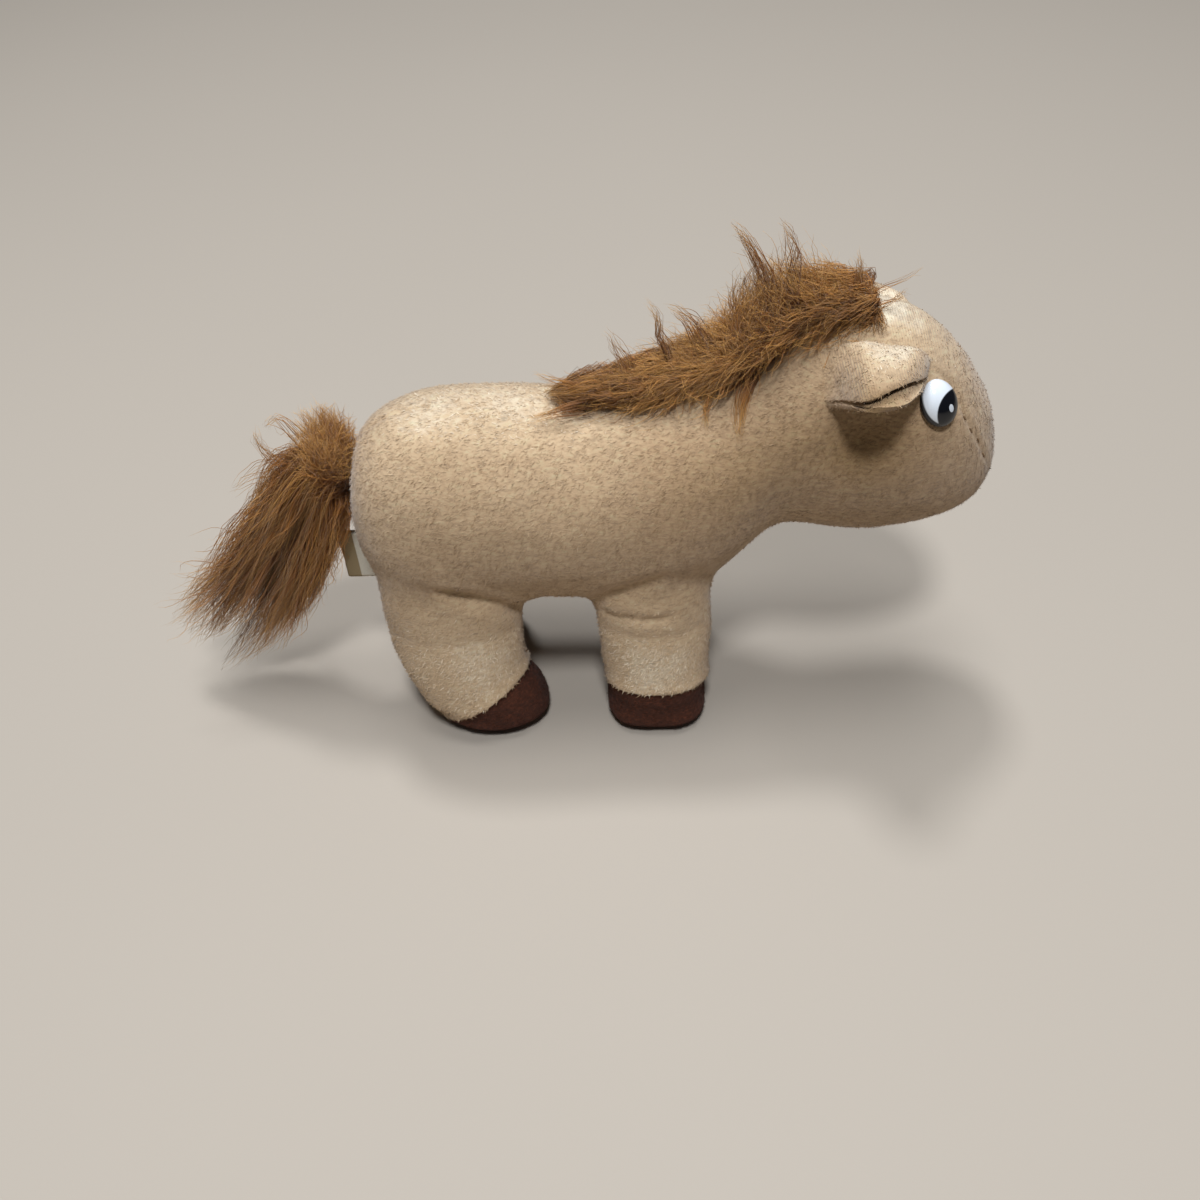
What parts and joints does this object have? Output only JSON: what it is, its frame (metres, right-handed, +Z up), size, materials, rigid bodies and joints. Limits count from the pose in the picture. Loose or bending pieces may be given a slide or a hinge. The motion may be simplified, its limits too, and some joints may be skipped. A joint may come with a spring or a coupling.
{
  "type": "plush horse",
  "caption": "Small standing stuffed horse toy with a nodding head, bending legs, flapping ears, a fringe mane and a swaying tail.",
  "frame": {"origin": "on the floor under the middle of the outline", "axes": "+X towards the nose, +Y to the horse's left, +Z up"},
  "size_m": [0.1886, 0.0482, 0.12],
  "materials": {
    "short_pile_knit": "matt short pile",
    "fibre_stuffing": "loose polyester fibre",
    "hoof_felt": "matt felt",
    "long_pile": "long soft pile",
    "woven_backing": "woven",
    "eye_plastic": "polished, with a black pupil",
    "washer_plastic": "plain",
    "tag_tape": "woven tape, bare"
  },
  "bodies": {
    "body": {"body_skin": "short_pile_knit", "body_stuffing": "fibre_stuffing", "mane_backing_neck": "woven_backing", "mane_pile_neck": "long_pile"},
    "head": {"head_skin": "short_pile_knit", "head_stuffing": "fibre_stuffing", "eye_right": "eye_plastic", "eye_left": "eye_plastic", "eye_washer_right": "washer_plastic", "eye_washer_left": "washer_plastic", "mane_backing_head": "woven_backing", "mane_pile_head": "long_pile"},
    "foreleg_right": {"foreleg_right_skin": "short_pile_knit", "foreleg_right_hoof": "hoof_felt", "foreleg_right_stuffing": "fibre_stuffing"},
    "foreleg_left": {"foreleg_left_skin": "short_pile_knit", "foreleg_left_hoof": "hoof_felt", "foreleg_left_stuffing": "fibre_stuffing"},
    "hindleg_right": {"hindleg_right_skin": "short_pile_knit", "hindleg_right_hoof": "hoof_felt", "hindleg_right_stuffing": "fibre_stuffing"},
    "hindleg_left": {"hindleg_left_skin": "short_pile_knit", "hindleg_left_hoof": "hoof_felt", "hindleg_left_stuffing": "fibre_stuffing"},
    "ear_right": {"ear_outer_right": "short_pile_knit", "ear_lining_right": "short_pile_knit"},
    "ear_left": {"ear_outer_left": "short_pile_knit", "ear_lining_left": "short_pile_knit"},
    "tail_root": {"tail_tab": "woven_backing"},
    "tail": {"tail_backing": "woven_backing", "tail_pile": "long_pile"},
    "tag": {"tag": "tag_tape"}
  },
  "joints": [
    {"name": "head_nod", "type": "hinge", "parent": "body", "child": "head", "pos_m": [0.04005, 0, 0.074], "axis": [0, 1, 0], "range_deg": [-8, 12], "stiffness_Nm_per_rad": 0.3},
    {"name": "foreleg_right_bend", "type": "hinge", "parent": "body", "child": "foreleg_right", "pos_m": [0.01845, -0.0134, 0.0395], "axis": [0, 1, 0], "range_deg": [-12, 12], "stiffness_Nm_per_rad": 0.1},
    {"name": "foreleg_left_bend", "type": "hinge", "parent": "body", "child": "foreleg_left", "pos_m": [0.01845, 0.0134, 0.0395], "axis": [0, 1, 0], "range_deg": [-12, 12], "stiffness_Nm_per_rad": 0.1},
    {"name": "hindleg_right_bend", "type": "hinge", "parent": "body", "child": "hindleg_right", "pos_m": [-0.02975, -0.0134, 0.0395], "axis": [0, 1, 0], "range_deg": [-12, 12], "stiffness_Nm_per_rad": 0.1},
    {"name": "hindleg_left_bend", "type": "hinge", "parent": "body", "child": "hindleg_left", "pos_m": [-0.02975, 0.0134, 0.0395], "axis": [0, 1, 0], "range_deg": [-12, 12], "stiffness_Nm_per_rad": 0.1},
    {"name": "ear_right_flap", "type": "hinge", "parent": "head", "child": "ear_right", "pos_m": [0.06265, -0.0105, 0.104], "axis": [1, 0, 0], "range_deg": [-40, 25], "stiffness_Nm_per_rad": 0.005},
    {"name": "ear_left_flap", "type": "hinge", "parent": "head", "child": "ear_left", "pos_m": [0.06265, 0.0126, 0.102], "axis": [-1, 0, 0], "range_deg": [-70, 2], "stiffness_Nm_per_rad": 0.005},
    {"name": "tail_sway", "type": "hinge", "parent": "body", "child": "tail_root", "pos_m": [-0.05015, 0, 0.07], "axis": [0, 0, 1], "range_deg": [-40, 40], "stiffness_Nm_per_rad": 0.02},
    {"name": "tail_lift", "type": "hinge", "parent": "tail_root", "child": "tail", "pos_m": [-0.05415, 0, 0.07], "axis": [0, 1, 0], "range_deg": [-2, 25], "stiffness_Nm_per_rad": 0.05},
    {"name": "tag_flap", "type": "hinge", "parent": "body", "child": "tag", "pos_m": [-0.04915, 0, 0.0435], "axis": [0, 0, 1], "range_deg": [-40, 40], "stiffness_Nm_per_rad": 0.0005}
  ]
}
